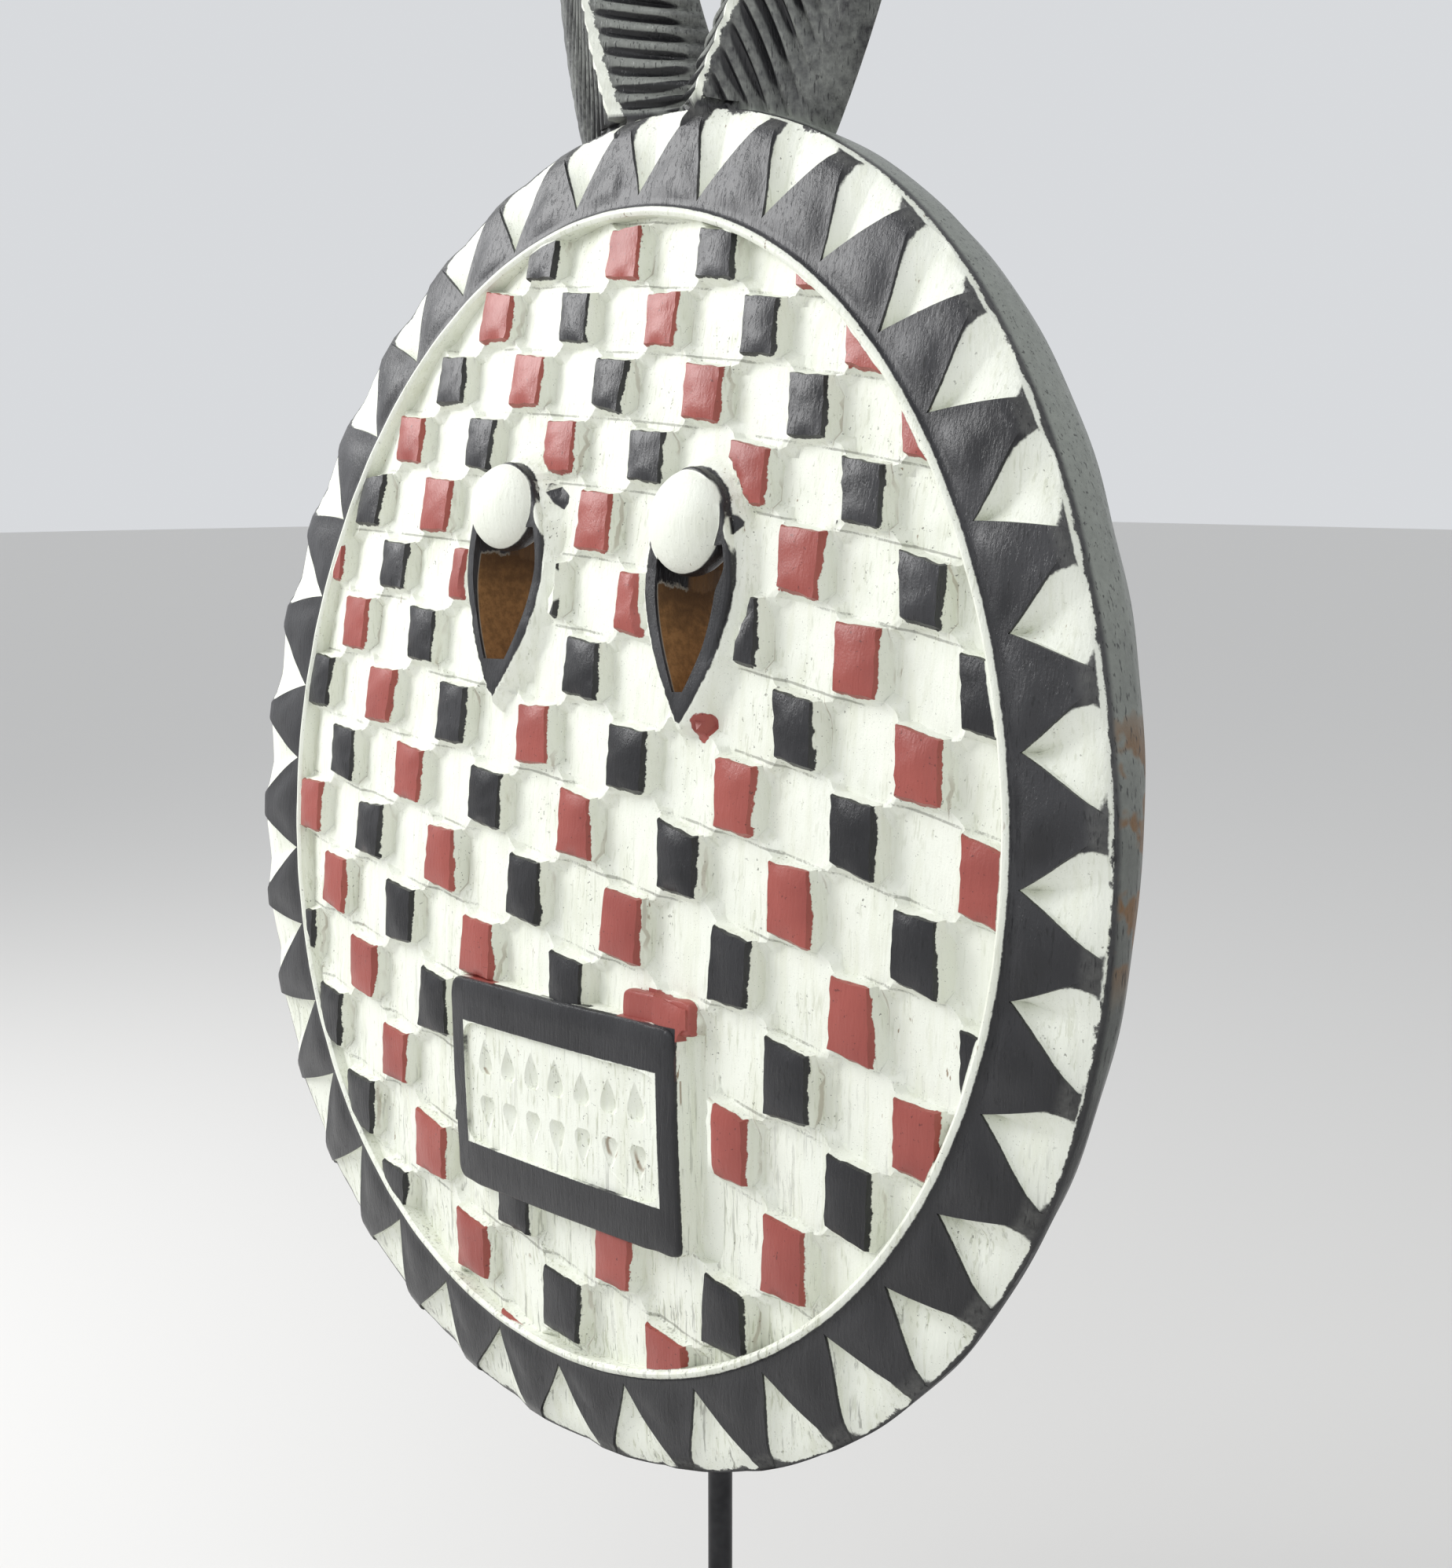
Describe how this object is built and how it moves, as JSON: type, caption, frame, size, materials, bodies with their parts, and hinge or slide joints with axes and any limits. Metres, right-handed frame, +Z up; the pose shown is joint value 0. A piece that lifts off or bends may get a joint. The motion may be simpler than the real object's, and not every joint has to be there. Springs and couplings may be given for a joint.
{
  "type": "goli mask",
  "caption": "Carved and painted wooden disc mask with horns, chequered chip-carved face, slit eyes and a framed mouth, held on a rod stand.",
  "frame": {"origin": "centre of the foot's underside", "axes": "+Z up the rod, the mask's face looks towards -Y, +X is to the right of someone who faces it"},
  "size_m": [0.3974, 0.15, 0.8561],
  "materials": {
    "painted_wood": "matte",
    "dark_steel": "satin",
    "stained_wood": "satin"
  },
  "bodies": {
    "root": {"mask": "painted_wood", "stand_rod": "dark_steel", "stand_foot": "stained_wood"}
  },
  "joints": []
}
